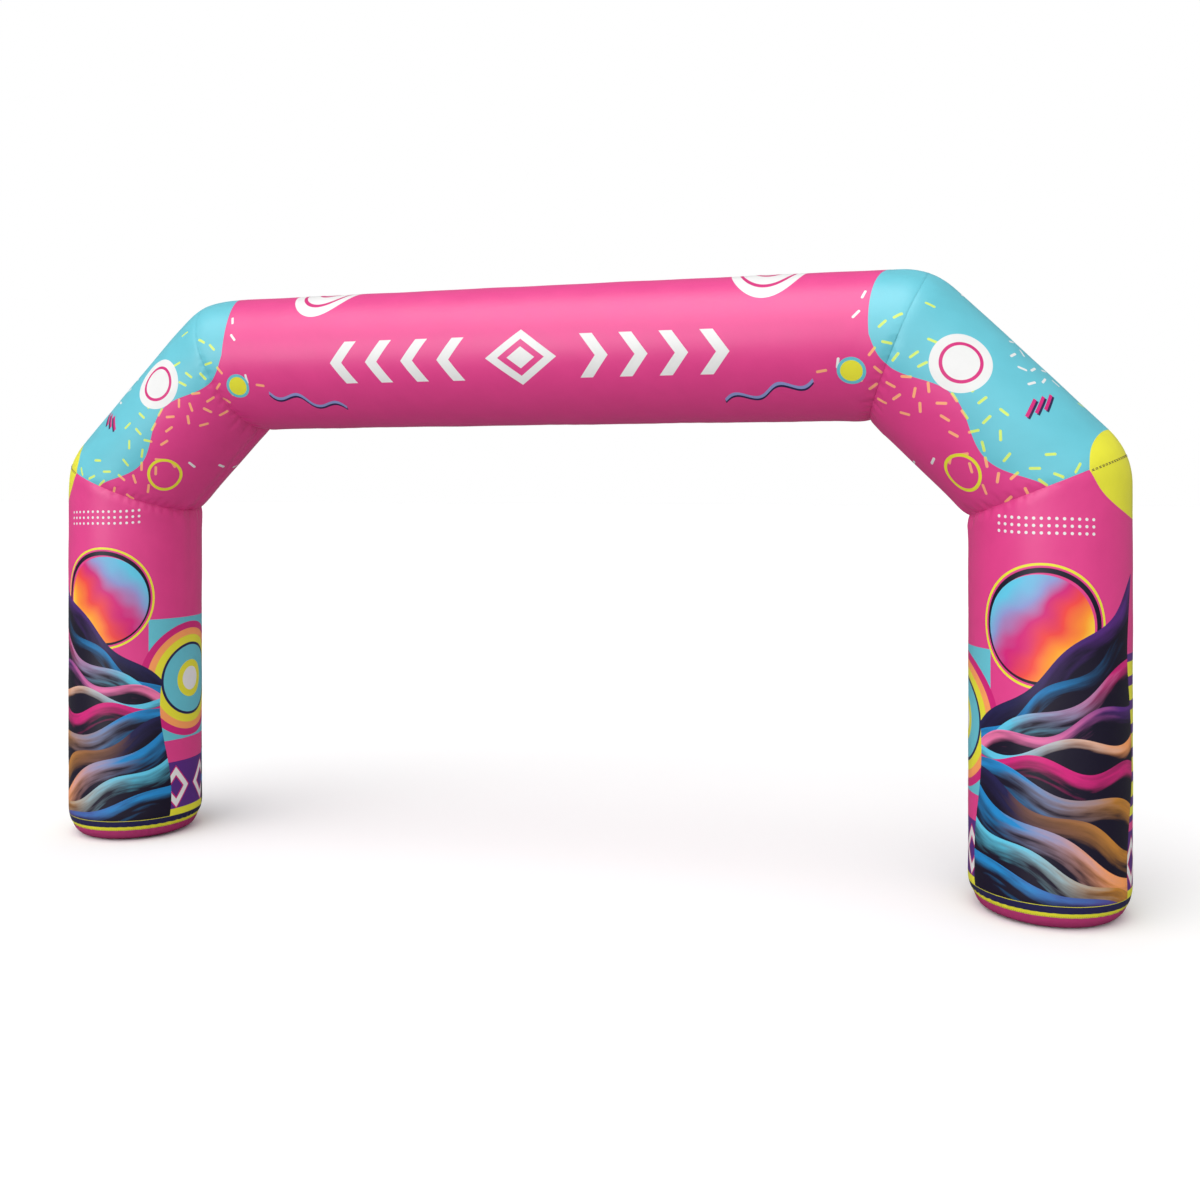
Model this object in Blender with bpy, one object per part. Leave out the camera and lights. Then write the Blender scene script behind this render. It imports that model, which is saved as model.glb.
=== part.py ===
"""Inflatable arch: five pressurised cloth tubes sewn end to end, standing on two base caps.

Run it with blender --background --python part.py, or from the text editor.
Metres, +Z up. X runs along the arch's width, the front faces -Y, and the origin lies on the
ground midway between the two legs.
"""
import math

import bmesh
import bpy
import numpy as np

# ------------------------------------------------------------------ driving dimensions
OVERALL_WIDTH = 6.0                 # from the outer side of one leg to that of the other
TUBE_RADIUS = 0.38                  # every tube is 0.76 m across
ELBOW_HEIGHT = 2.08                 # where the axes of leg and shoulder meet
SHOULDER_RISE = 0.705               # the shoulder's axis climbs this much, and runs in as much

BASE_RISE = 0.167                   # height over which the foot of a leg curves in
BASE_INSET = 0.106                  # how far it has curved in where it meets the ground
CAP_HEIGHT = 0.068                  # seam between the leg panel and its base cap

PANEL_GAP = 0.0003                  # two panels never touch: they keep this apart
SEAM_DEPTH = 0.006                  # how far a mitre seam is drawn in by its stitching
SEAM_REACH = 0.060                  # ... and the length over which the cloth swells out again
CAP_SEAM_DEPTH = 0.003
CAP_SEAM_REACH = 0.030

SIDES = 48                          # fibres round a tube
# Distances of a tube end's rings from its seam; the last lies past the bend of the elbow.
SEAM_STATIONS = (0.0, 0.012, 0.030, 0.060, 0.090, 0.120, 0.150)
FOOT_STATIONS = 6                   # rings on the curved foot of a leg, and on its cap
SHARP_EDGE = math.radians(40)

# ------------------------------------------------------------------ derived dimensions
LEG_AXIS_X = OVERALL_WIDTH / 2 - TUBE_RADIUS
BEAM_AXIS_Z = ELBOW_HEIGHT + SHOULDER_RISE
BEAM_CORNER_X = LEG_AXIS_X - SHOULDER_RISE
MITRE = math.radians(45 / 2)        # each seam halves the 45 degree bend of its elbow
CAP_SEAM_ANGLE = math.asin(1.0 - CAP_HEIGHT / BASE_RISE)

X_AXIS = np.array((1.0, 0.0, 0.0))
Y_AXIS = np.array((0.0, 1.0, 0.0))
Z_AXIS = np.array((0.0, 0.0, 1.0))

# Angle round the tube, from 0 on the outer side of the bend.
AROUND = np.arange(SIDES) * 2 * math.pi / SIDES


def unit(vectors):
    """The same directions at length 1."""
    vectors = np.asarray(vectors, dtype=float)
    return vectors / np.linalg.norm(vectors, axis=-1, keepdims=True)


def mitred_ring(corner, inward, outward, distance):
    """One ring of a tube, `distance` along the cloth from its mitre seam.

    corner is where the axes of two tubes meet, inward runs from there along this tube, and
    outward points to the outer side of the bend. On the inner half a fibre runs straight up
    to the seam plane. On the outer half the cloth rolls over a ball of the tube's radius about
    the corner: a fibre at offset h turns through the mitre angle on an arc of radius h.
    """
    offset = TUBE_RADIUS * np.cos(AROUND)
    across = TUBE_RADIUS * np.sin(AROUND)
    outer = np.maximum(offset, 0.0)
    inner = np.maximum(-offset, 0.0)
    arc = outer * MITRE
    turned = np.clip(distance / np.maximum(arc, 1e-6), 0.0, 1.0)
    angle = -MITRE * (1.0 - turned)
    straight = np.maximum(distance - arc, 0.0)
    along = outer * np.sin(angle) + straight + inner * math.tan(MITRE)
    height = outer * np.cos(angle) - inner
    points = (corner + along[:, None] * inward + height[:, None] * outward
              + across[:, None] * Y_AXIS)

    closeness = max(1.0 - distance / SEAM_REACH, 0.0)
    centres = corner + (along * (1.0 - closeness))[:, None] * inward
    points = points + SEAM_DEPTH * closeness ** 2 * unit(centres - points)
    if distance == 0.0:
        seam_normal = math.cos(MITRE) * inward + math.sin(MITRE) * outward
        points = points + PANEL_GAP / 2 * seam_normal
    return points


def mitred_end(corner, inward, outward):
    """The rings of one tube end, from its seam to where the tube runs straight."""
    return [mitred_ring(corner, inward, outward, distance) for distance in SEAM_STATIONS]


def foot_ring(side, angle):
    """One level ring of a leg's foot; angle runs from 0, upright cloth, to 90 degrees, ground.

    The profile is a quarter of an ellipse, BASE_RISE high and BASE_INSET wide, and it is drawn
    in a little where the base cap is sewn on.
    """
    radius = TUBE_RADIUS - BASE_INSET * (1.0 - math.cos(angle))
    height = BASE_RISE * (1.0 - math.sin(angle))
    from_seam = abs(angle - CAP_SEAM_ANGLE) * (BASE_RISE + BASE_INSET) / 2
    radius -= CAP_SEAM_DEPTH * max(1.0 - from_seam / CAP_SEAM_REACH, 0.0) ** 2
    outward = side * X_AXIS
    centre = side * LEG_AXIS_X * X_AXIS + height * Z_AXIS
    return (centre + radius * np.cos(AROUND)[:, None] * outward
            + radius * np.sin(AROUND)[:, None] * Y_AXIS)


def panel_material(name, colour, roughness):
    """Plain coated polyester in one colour."""
    material = bpy.data.materials.new(name)
    material.use_nodes = True
    shader = material.node_tree.nodes["Principled BSDF"]
    shader.inputs["Base Color"].default_value = (*colour, 1.0)
    shader.inputs["Roughness"].default_value = roughness
    shader.inputs["Metallic"].default_value = 0.0
    return material


def filled_panel(name, rings, material):
    """A closed solid skinned over a row of rings, with a flat face at either end."""
    mesh_data = bmesh.new()
    loops = [[mesh_data.verts.new(point) for point in ring] for ring in rings]
    for lower, upper in zip(loops, loops[1:]):
        for i in range(SIDES):
            j = (i + 1) % SIDES
            mesh_data.faces.new((lower[i], lower[j], upper[j], upper[i]))
    mesh_data.faces.new(loops[0])
    mesh_data.faces.new(loops[-1])
    bmesh.ops.recalc_face_normals(mesh_data, faces=mesh_data.faces[:])

    mesh = bpy.data.meshes.new(name)
    mesh_data.to_mesh(mesh)
    mesh_data.free()
    mesh.shade_smooth()
    mesh.set_sharp_from_angle(angle=SHARP_EDGE)
    mesh.materials.append(material)
    panel = bpy.data.objects.new(name, mesh)
    bpy.context.scene.collection.objects.link(panel)
    return panel


def elbow_corner(side):
    """Where the axes of a leg and its shoulder meet."""
    return side * LEG_AXIS_X * X_AXIS + ELBOW_HEIGHT * Z_AXIS


def beam_corner(side):
    """Where the axes of a shoulder and the beam meet."""
    return side * BEAM_CORNER_X * X_AXIS + BEAM_AXIS_Z * Z_AXIS


def leg_rings(side):
    """A leg from its elbow seam down to the seam of its base cap."""
    mitred = mitred_end(elbow_corner(side), -Z_AXIS, side * X_AXIS)
    angles = np.linspace(0.0, CAP_SEAM_ANGLE, FOOT_STATIONS)
    foot = [foot_ring(side, angle) for angle in angles]
    foot[-1] = foot[-1] + PANEL_GAP / 2 * Z_AXIS
    return mitred + foot


def shoulder_rings(side):
    """A shoulder from its elbow seam up to its beam seam."""
    climb = unit((-side, 0.0, 1.0))
    outward = unit((side, 0.0, 1.0))
    lower = mitred_end(elbow_corner(side), climb, outward)
    upper = mitred_end(beam_corner(side), -climb, outward)
    return lower + upper[::-1]


def beam_rings():
    """The beam from its left seam to its right seam."""
    left = mitred_end(beam_corner(-1), X_AXIS, Z_AXIS)
    right = mitred_end(beam_corner(1), -X_AXIS, Z_AXIS)
    return left + right[::-1]


def base_cap_rings(side):
    """A base cap from its seam round to the flat that stands on the ground."""
    angles = np.linspace(CAP_SEAM_ANGLE, math.pi / 2, FOOT_STATIONS)
    rings = [foot_ring(side, angle) for angle in angles]
    rings[0] = rings[0] - PANEL_GAP / 2 * Z_AXIS
    return rings


def main():
    for old in list(bpy.data.objects):
        bpy.data.objects.remove(old, do_unlink=True)

    leg_cloth = panel_material("leg_cloth", (0.20, 0.10, 0.36), 0.42)
    shoulder_cloth = panel_material("shoulder_cloth", (0.18, 0.58, 0.68), 0.42)
    beam_cloth = panel_material("beam_cloth", (0.78, 0.08, 0.30), 0.42)
    cap_cloth = panel_material("cap_cloth", (0.60, 0.05, 0.22), 0.50)

    filled_panel("beam", beam_rings(), beam_cloth)
    for word, side in (("left", -1), ("right", 1)):
        filled_panel(f"shoulder_{word}", shoulder_rings(side), shoulder_cloth)
        filled_panel(f"leg_{word}", leg_rings(side), leg_cloth)
        filled_panel(f"base_cap_{word}", base_cap_rings(side), cap_cloth)


main()
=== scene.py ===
# %% [markdown]
# # An inflatable arch
# The arch is one long balloon of printed polyester: two upright legs, two shoulders at 45 degrees
# and a level beam, sewn end to end and held round by air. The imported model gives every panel's
# place and size. This lesson gives the panels their sewn seams, their print and their shine.

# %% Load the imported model
import math

import bpy
import numpy as np
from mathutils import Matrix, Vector


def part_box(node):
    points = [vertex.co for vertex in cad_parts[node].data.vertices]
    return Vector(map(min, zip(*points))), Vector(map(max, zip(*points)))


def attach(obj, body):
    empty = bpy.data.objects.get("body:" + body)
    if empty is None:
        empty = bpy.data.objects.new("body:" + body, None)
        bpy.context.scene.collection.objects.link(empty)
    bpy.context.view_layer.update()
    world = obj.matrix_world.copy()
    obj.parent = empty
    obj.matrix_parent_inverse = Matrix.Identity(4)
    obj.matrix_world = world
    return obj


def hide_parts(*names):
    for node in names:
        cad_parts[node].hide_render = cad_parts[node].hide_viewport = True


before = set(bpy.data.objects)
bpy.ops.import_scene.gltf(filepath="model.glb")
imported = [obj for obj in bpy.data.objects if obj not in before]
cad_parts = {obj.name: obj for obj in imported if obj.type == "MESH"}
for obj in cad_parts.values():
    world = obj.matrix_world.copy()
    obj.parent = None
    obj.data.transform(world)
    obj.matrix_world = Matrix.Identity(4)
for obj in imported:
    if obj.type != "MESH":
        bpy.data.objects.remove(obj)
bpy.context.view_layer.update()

# %% [markdown]
# ## The arch's sizes
# The main sizes are read back from the panels' boxes, so the fine cloth made here can't drift
# away from the solids that it stands for. Only the dip at the seams, the gap between panels and
# the curve of the foot are given as numbers. The seams halve the 45 degree bend of each elbow.

# %% Read the driving sizes from the panels
MITRE = math.radians(45 / 2)
SEAM_DEPTH = 0.006          # how far a mitre seam is drawn in
SEAM_REACH = 0.060          # ... and how soon the cloth has swelled out again
PANEL_GAP = 0.0003          # two panels never touch

beam_low, beam_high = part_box("beam")
leg_low, leg_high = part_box("leg_right")
cap_low, cap_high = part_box("base_cap_right")
RADIUS = (beam_high[1] - beam_low[1]) / 2
BEAM_Z = beam_high[2] - RADIUS
LEG_X = (leg_low[0] + leg_high[0]) / 2
seam_overhang = (RADIUS - SEAM_DEPTH) * math.sin(MITRE)
ELBOW_Z = round(leg_high[2] - seam_overhang, 3)
CORNER_X = round(beam_high[0] - seam_overhang, 3)
CAP_Z = round((cap_high[2] + leg_low[2]) / 2, 4)
BASE_RISE = 0.167           # the foot of a leg curves in over this height
BASE_INSET = 0.106          # ... by this much
print(f"radius {RADIUS:.3f}, leg axis {LEG_X:.3f}, elbow {ELBOW_Z}, beam axis {BEAM_Z:.3f}")
print(f"beam corner {CORNER_X}, cap seam {CAP_Z}")

# %% Helpers
X_AXIS, Y_AXIS, Z_AXIS = np.eye(3)
SIDES = ("left", -1), ("right", 1)      # ... with the sign of x there


def unit(vectors):
    """The same directions at length 1."""
    vectors = np.asarray(vectors, dtype=float)
    return vectors / np.linalg.norm(vectors, axis=-1, keepdims=True)


def in_scene(name, data):
    """A new object for a mesh, a lamp or a camera, linked into the scene."""
    made = bpy.data.objects.new(name, data)
    bpy.context.scene.collection.objects.link(made)
    return made


def mesh_object(name, points, faces):
    """A new object with a mesh of the given points and faces."""
    mesh = bpy.data.meshes.new(name)
    mesh.from_pydata(points, [], faces)
    return in_scene(name, mesh)


# %% [markdown]
# ## The view
# The camera stands to the right of the middle, level, a little above head height. A level camera
# keeps the legs upright in the picture; a small downward shift of the lens centres the arch, as
# an architect's camera does, instead of a tilt that would make the legs lean.

# %% Place the camera
VIEW_TURN = math.radians(16.45)
VIEW_PLACE = (2.263, -6.574, 2.075)
FOCAL_PIXELS = 1263.2       # focal length in pixels of a picture 1200 pixels wide
HORIZON_ROW = 485.1         # the row of that picture that lies level with the camera
PICTURE = 1200

camera_data = bpy.data.cameras.new("camera")
camera_data.sensor_width = 36.0
camera_data.lens = camera_data.sensor_width * FOCAL_PIXELS / PICTURE
camera_data.shift_y = (HORIZON_ROW - PICTURE / 2) / PICTURE
camera_data.clip_end = 200.0
camera = in_scene("camera", camera_data)
camera.location = VIEW_PLACE
camera.rotation_euler = (math.pi / 2, 0.0, VIEW_TURN)
bpy.context.scene.camera = camera
print("lens", round(camera_data.lens, 2), "mm")

# %% [markdown]
# ## Cloth under pressure
# A blown-up tube is a surface of two numbers: how far a thread is from the seam, and where it
# lies round the tube. On the inner side of an elbow the threads run straight to the mitre seam
# and meet in a crisp crease. On the outer side the air pushes the cloth over a ball.

# %% A tube's end as a function of two parameters
def mitred_cloth(corner, inward, outward, from_seam, around):
    """Points and outward directions of a tube's end.

    In words: a thread at offset h from the axis, towards the outer side of the bend, starts on
    the mitre plane. If h is positive it first turns on an arc of radius h round the corner,
    through the mitre angle; if h is negative it starts |h| tan(mitre) along the axis. From there
    it runs straight. from_seam is the length of cloth from the seam, around the angle from the
    outer side.
    """
    offset = RADIUS * np.cos(around)
    across = RADIUS * np.sin(around)
    outer, inner = np.maximum(offset, 0.0), np.maximum(-offset, 0.0)
    arc = outer * MITRE
    angle = -MITRE * (1.0 - np.clip(from_seam / np.maximum(arc, 1e-6), 0.0, 1.0))
    along = (outer * np.sin(angle) + np.maximum(from_seam - arc, 0.0)
             + inner * math.tan(MITRE))
    height = outer * np.cos(angle) - inner
    points = (corner + along[..., None] * inward + height[..., None] * outward
              + across[..., None] * Y_AXIS)
    closeness = np.clip(1.0 - from_seam / SEAM_REACH, 0.0, 1.0)
    centres = corner + (along * (1.0 - closeness))[..., None] * inward
    return points, unit(points - centres)


# %% [markdown]
# ## What stitching does to cloth
# A sewn seam is a little tighter than the cloth beside it. So the tube dips to the seam, and small
# puckers run away from the thread. On the outer side of an elbow the air presses nearly all of
# that flat, and only broad soft flats are left. Inside the elbow, where the cloth is spare, some
# puckers grow into folds. This is how the cloth lies before the air comes in.

# %% Loose cloth near a seam
PUCKER_DEPTH, FOLD_DEPTH, FLAT_DEPTH = 0.0018, 0.0058, 0.0040
PUCKERS, FOLDS, FLATS = 47, 17, 8       # so many of each go round a tube
FOLD_START, FOLD_LENGTH = 0.03, 0.13    # where a fold gets its full depth, and how it fades
FLAT_PLACE, FLAT_WIDTH = 0.10, 0.075    # how far the flats lie from the seam, and their width


def ripple(around, count, seed):
    """An uneven wave round the tube, from 0 to 1: a sine whose phase wanders."""
    wander = 1.7 * np.sin(3 * around + seed) + 1.1 * np.sin(7 * around + 2.3 * seed)
    return 0.5 + 0.5 * np.sin(count * around + wander)


def bell(distance, middle, width):
    """1 at the middle, falling off smoothly over the width."""
    return np.exp(-((distance - middle) / width) ** 2)


def inner_part(around):
    """1 on the inner line of the bend, falling to 0 halfway round."""
    return np.clip(-np.cos(around), 0.0, 1.0)


def outer_part(around):
    """1 on the outer line of the bend, falling to 0 halfway round, at first slowly."""
    return np.clip(np.cos(around), 0.0, 1.0) ** 0.3


def held(around):
    """How much of a seam's relief the air leaves: little on the outer side, all on the inner."""
    return 1.0 - 0.94 * outer_part(around)


# %% The loose cloth's height
def loose_relief(from_seam, around, seed):
    """Height of the loose cloth over the plain tube, in metres.

    The sum of the dip to the seam, puckers and folds, which are strongest on the inner side of
    the bend, and broad flats on the outer side.
    """
    dip = -SEAM_DEPTH * np.clip(1.0 - from_seam / SEAM_REACH, 0.0, 1.0) ** 2
    reach = 0.020 + 0.030 * ripple(around, 5, seed + 2.0)
    pucker = -PUCKER_DEPTH * ripple(around, PUCKERS, seed) * np.exp(-from_seam / reach)
    swell = (from_seam / FOLD_START) * np.exp(1.0 - from_seam / FOLD_START)
    long_fold = ripple(around, FOLDS, seed + 4.0) ** 3 * np.exp(-from_seam / FOLD_LENGTH)
    fold = -FOLD_DEPTH * long_fold * np.clip(swell + from_seam / 0.05, 0.0, 1.0)
    flats = -FLAT_DEPTH * ripple(around, FLATS, seed + 1.0) * bell(from_seam, FLAT_PLACE, FLAT_WIDTH)
    return ((dip + pucker) * held(around) + fold * inner_part(around) ** 1.5
            + flats * outer_part(around))


def slack(along, around, seed):
    """Very shallow unevenness of the whole panel, about a millimetre."""
    slow = np.sin(2 * math.pi * along / 0.83 + 2 * around + seed)
    quick = np.sin(2 * math.pi * along / 0.37 - 3 * around + 1.9 * seed)
    return 0.0011 * slow * np.sin(3 * around + seed) + 0.0006 * quick


# %% [markdown]
# ## Air
# Each panel is a grid: rows run round the tube, columns along it. Now the cloth solver blows the
# panel up. Its sewn ends are pinned, the cloth beside a seam is a little longer than its place,
# most of all inside the bend, and air presses from inside for twenty steps. The folds settle where
# the cloth wants them. The result is kept as plain points, so no solver stays on the piece.

# %% The sheet that is blown up
AROUND_STEPS = 256
around_line = np.linspace(-math.pi, math.pi, AROUND_STEPS + 1)
AIR_PRESSURE, AIR_STEPS = 4.0, 20
SPARE_CLOTH = 0.030         # the cloth beside a seam is longer by this share
SPARE_REACH = 0.060         # ... which fades over this distance
SPARE_OUTSIDE = 0.05        # ... and of which the outer side of a bend has only this part
MOVE_CAP = 0.010            # no point moves further than this
SEAM_HOLD = 0.018           # the doubled cloth of a seam holds its place within this distance
CLOTH = {
    "quality": 3, "mass": 0.05, "tension_stiffness": 80.0, "compression_stiffness": 80.0,
    "shear_stiffness": 25.0, "bending_stiffness": 0.05, "tension_damping": 5.0,
    "compression_damping": 5.0, "shear_damping": 5.0, "bending_damping": 0.5,
    "use_pressure": True, "uniform_pressure_force": AIR_PRESSURE,
    "vertex_group_mass": "pins", "vertex_group_shrink": "taut",
    "shrink_min": -SPARE_CLOTH, "shrink_max": 0.0}


def grid_faces(rows):
    """Row and column numbers and the quads of a grid whose last column joins its first."""
    i, j = np.meshgrid(np.arange(rows - 1), np.arange(AROUND_STEPS), indexing="ij")
    right = (j + 1) % AROUND_STEPS
    corners = [i * AROUND_STEPS + j, i * AROUND_STEPS + right,
               (i + 1) * AROUND_STEPS + right, (i + 1) * AROUND_STEPS + j]
    return i, j, np.stack(corners, -1).reshape(-1, 4)


def loose_sheet(name, grid, tautness):
    """An open tube of cloth with its ends pinned; tautness, 0 to 1, says where it has no spare."""
    rows, points = len(grid), grid[:, :-1].reshape(-1, 3)
    quads = grid_faces(rows)[2]
    a, b, d = (points[quads[:, n]] for n in (0, 1, 3))
    from_axis = (grid - grid[:, :-1].mean(1, keepdims=True))[:-1, :-1].reshape(-1, 3)
    if np.einsum("ij,ij->", np.cross(b - a, d - a), from_axis) < 0:
        quads = quads[:, ::-1]
    sheet = mesh_object(name, points.tolist(), quads.tolist())
    ends = np.r_[:AROUND_STEPS, (rows - 1) * AROUND_STEPS:rows * AROUND_STEPS]
    sheet.vertex_groups.new(name="pins").add(ends.tolist(), 1.0, "REPLACE")
    taut = sheet.vertex_groups.new(name="taut")
    levels = np.round(tautness[:, :-1].reshape(-1) * 100).astype(int)
    for level in np.unique(levels):
        taut.add(np.nonzero(levels == level)[0].tolist(), level / 100, "REPLACE")
    return sheet


# %% Blow it up
def blown_up(name, grid, from_seam, around):
    spare = SPARE_OUTSIDE + (1.0 - SPARE_OUTSIDE) * inner_part(around)
    sheet = loose_sheet(name, grid, 1.0 - spare * np.exp(-from_seam / SPARE_REACH))
    solver = sheet.modifiers.new("air", "CLOTH")
    for setting, value in CLOTH.items():
        setattr(solver.settings, setting, value)
    solver.settings.effector_weights.gravity = 0.0
    solver.collision_settings.use_collision = False
    solver.point_cache.frame_start, solver.point_cache.frame_end = 1, AIR_STEPS
    for step in range(1, AIR_STEPS + 1):
        bpy.context.scene.frame_set(step)
    settled = np.empty(3 * len(sheet.data.vertices), np.float32)
    result = sheet.evaluated_get(bpy.context.evaluated_depsgraph_get())
    result.data.vertices.foreach_get("co", settled)
    bpy.data.meshes.remove(sheet.data)
    bpy.context.scene.frame_set(1)

    move = settled.reshape(len(grid), AROUND_STEPS, 3) - grid[:, :-1]
    size = np.linalg.norm(move, axis=-1, keepdims=True)
    print(f"{name}: air moved it {1000 * size.mean():.1f} mm, at most {1000 * size.max():.1f} mm")
    hold = np.clip(from_seam[:, :-1, None] / SEAM_HOLD, 0.0, 1.0)
    move *= np.minimum(1.0, MOVE_CAP / np.maximum(size, 1e-9)) * hold * hold * (3.0 - 2.0 * hold)
    return grid + np.concatenate([move, move[:, :1]], 1)


# %% [markdown]
# The solver knows nothing of the panel on the other side of a seam. So afterwards every point is
# kept on its own side of the seam's plane, and the seam itself half a panel gap off it.

# %% Keep to one side of a seam
CLEAR_SLOPE = 0.1           # how fast the least depth grows with the distance from the seam


def clear_of_seam(grid, corner, seam_normal, from_seam):
    """Moves points off the seam's plane to a least depth that grows slowly away from the seam."""
    least = PANEL_GAP / 2 + CLEAR_SLOPE * from_seam
    short = np.maximum(least - (grid - corner) @ seam_normal, 0.0)
    return grid + short[..., None] * seam_normal


# %% [markdown]
# ## What is sewn in
# Two details are narrower than the solver's cloth or held by more than its threads, so they are
# laid on afterwards: the seam allowance makes a low flat ridge beside the stitches, and one crease
# runs on from the inner corner of each elbow along both tubes.

# %% Lap and crease
LAP_WIDTH, LAP_RISE = 0.014, 0.0009
CREASE_DEPTH, CREASE_WIDTH, CREASE_LENGTH = 0.0080, 0.026, 0.28
SWELL_HEIGHT, SWELL_PLACE, SWELL_WIDTH, SWELL_LENGTH = 0.0036, 0.062, 0.030, 0.34


def sewn_relief(from_seam, around, lapped):
    """Height of the lap, and of the crease: a trough between two low swells, fading away."""
    edge = np.clip(from_seam / 0.0015, 0.0, 1.0) * np.clip((LAP_WIDTH - from_seam) / 0.003, 0.0, 1.0)
    lap = LAP_RISE * edge * lapped * held(around)
    aside = RADIUS * (math.pi - np.abs(around))
    trough = -CREASE_DEPTH * bell(aside, 0.0, CREASE_WIDTH) * np.exp(-from_seam / CREASE_LENGTH)
    swell = SWELL_HEIGHT * bell(aside, SWELL_PLACE, SWELL_WIDTH) * np.exp(-from_seam / SWELL_LENGTH)
    return lap + trough + swell


# %% [markdown]
# ## From a grid of points to a closed panel
# The two open ends of a grid are closed with a fan of triangles, since a filled solid has no
# holes. Every panel carries three UV maps: the print's flat template in metres, the cloth's own
# threads in metres, and a 0 to 1 layout.

# %% Close the ends and lay out the maps
END_SPOTS = np.array(((0.06, 0.06), (0.18, 0.06)))      # the ends' middles in the 0 to 1 layout
END_SIZE, WALL_START = 0.05, 0.12                       # ... their radius, and where the wall begins


def fans(inner, rim, next_rim):
    """Triangles from an end's middle to its rim."""
    return np.stack([np.broadcast_to(inner, rim.shape), rim, next_rim], 1)


def map_corners(layout, table, i, j):
    """Where every corner of the wall's quads and of both fans lies on one map."""
    wall = np.stack([table[i, j], table[i, j + 1], table[i + 1, j + 1], table[i + 1, j]], -2)
    if layout == "OFBake":
        middles = END_SPOTS
        circle = np.stack([np.cos(around_line), np.sin(around_line)], -1) * END_SIZE
        rims = middles[0] + circle, middles[1] + circle
    else:
        middles, rims = (table[0].mean(0), table[-1].mean(0)), (table[0], table[-1])
    first = fans(middles[0], rims[0][1:], rims[0][:-1])
    last = fans(middles[1], rims[1][:-1], rims[1][1:])
    return [wall.reshape(-1, 4, 2), first, last]


# %% Turn a grid into a mesh
def closed_panel(name, grid, print_map, cloth_map):
    """A closed object skinned over a grid of shape (rows, AROUND_STEPS + 1, 3).

    The first and last columns are the same thread, so the last one only serves the UV maps.
    """
    rows, columns = grid.shape[0], AROUND_STEPS
    ends = np.stack([grid[0, :-1].mean(0), grid[-1, :-1].mean(0)])
    points = np.concatenate([grid[:, :-1].reshape(-1, 3), ends])
    i, j, quads = grid_faces(rows)
    k = np.arange(columns)
    after, last_row = (k + 1) % columns, (rows - 1) * columns
    first_fan = fans(np.array(rows * columns), after, k)
    last_fan = fans(np.array(rows * columns + 1), last_row + k, last_row + after)
    faces = [quads, first_fan, last_fan]

    share_down = np.linspace(0.0, 1.0, rows)[:, None] * np.ones(columns + 1)
    share_across = np.linspace(0.0, 1.0, columns + 1)[None, :] * np.ones((rows, 1))
    bake_map = np.stack([share_down, WALL_START + (1.0 - WALL_START) * share_across], -1)
    maps = {layout: map_corners(layout, table, i, j) for layout, table in
            (("print", print_map), ("cloth", cloth_map), ("OFBake", bake_map))}

    a, b, c, d = (points[quads[:, n]] for n in range(4))
    volume = np.einsum("ij,ij->", a, np.cross(b, c)) + np.einsum("ij,ij->", a, np.cross(c, d))
    if volume < 0:
        faces = [group[:, ::-1] for group in faces]
        maps = {layout: [part[:, ::-1] for part in parts] for layout, parts in maps.items()}

    piece = mesh_object(name, points.tolist(), [face for group in faces for face in group.tolist()])
    for layout, parts in maps.items():
        flat = np.concatenate([part.reshape(-1, 2) for part in parts])
        piece.data.uv_layers.new(name=layout).data.foreach_set("uv", flat.astype(np.float32).ravel())
    piece.data.shade_smooth()
    piece.data.set_sharp_from_angle(angle=math.radians(50))
    return piece


# %% Finish a piece
def finish_piece(piece, material, node):
    """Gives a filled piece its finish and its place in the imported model."""
    piece.data.materials.append(material)
    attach(piece, "root")
    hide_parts(node)
    triangles = sum(len(face.vertices) - 2 for face in piece.data.polygons)
    print(f"{piece.name}: {triangles} triangles")


# %% [markdown]
# ## Paint as arithmetic
# The print is drawn by formulas, so it stays sharp at any distance. A small class stands for a
# value in a material, and adding or multiplying two of them adds the Math nodes that do it.

# %% A value that builds its own nodes
class Value:
    """One socket of a material, with arithmetic."""

    def __init__(self, bench, socket):
        self.bench, self.socket = bench, socket

    def math(self, operation, *others, clamp=False):
        settings = {"operation": operation, "use_clamp": clamp}
        return self.bench.node("Math", settings, dict(enumerate((self, *others))))

    def __add__(self, other):
        return self.math("ADD", other)

    def __sub__(self, other):
        return self.math("SUBTRACT", other)

    def __mul__(self, other):
        return self.math("MULTIPLY", other)

    def __truediv__(self, other):
        return self.math("DIVIDE", other)

    def __lt__(self, other):
        return self.math("LESS_THAN", other)

    def __gt__(self, other):
        return self.math("GREATER_THAN", other)

    def __neg__(self):
        return self.math("MULTIPLY", -1.0)

    def __abs__(self):
        return self.math("ABSOLUTE")

    def sine(self):
        return self.math("SINE")

    def both(self, other):
        """The overlap of two distances."""
        return self.math("MAXIMUM", other)


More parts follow.
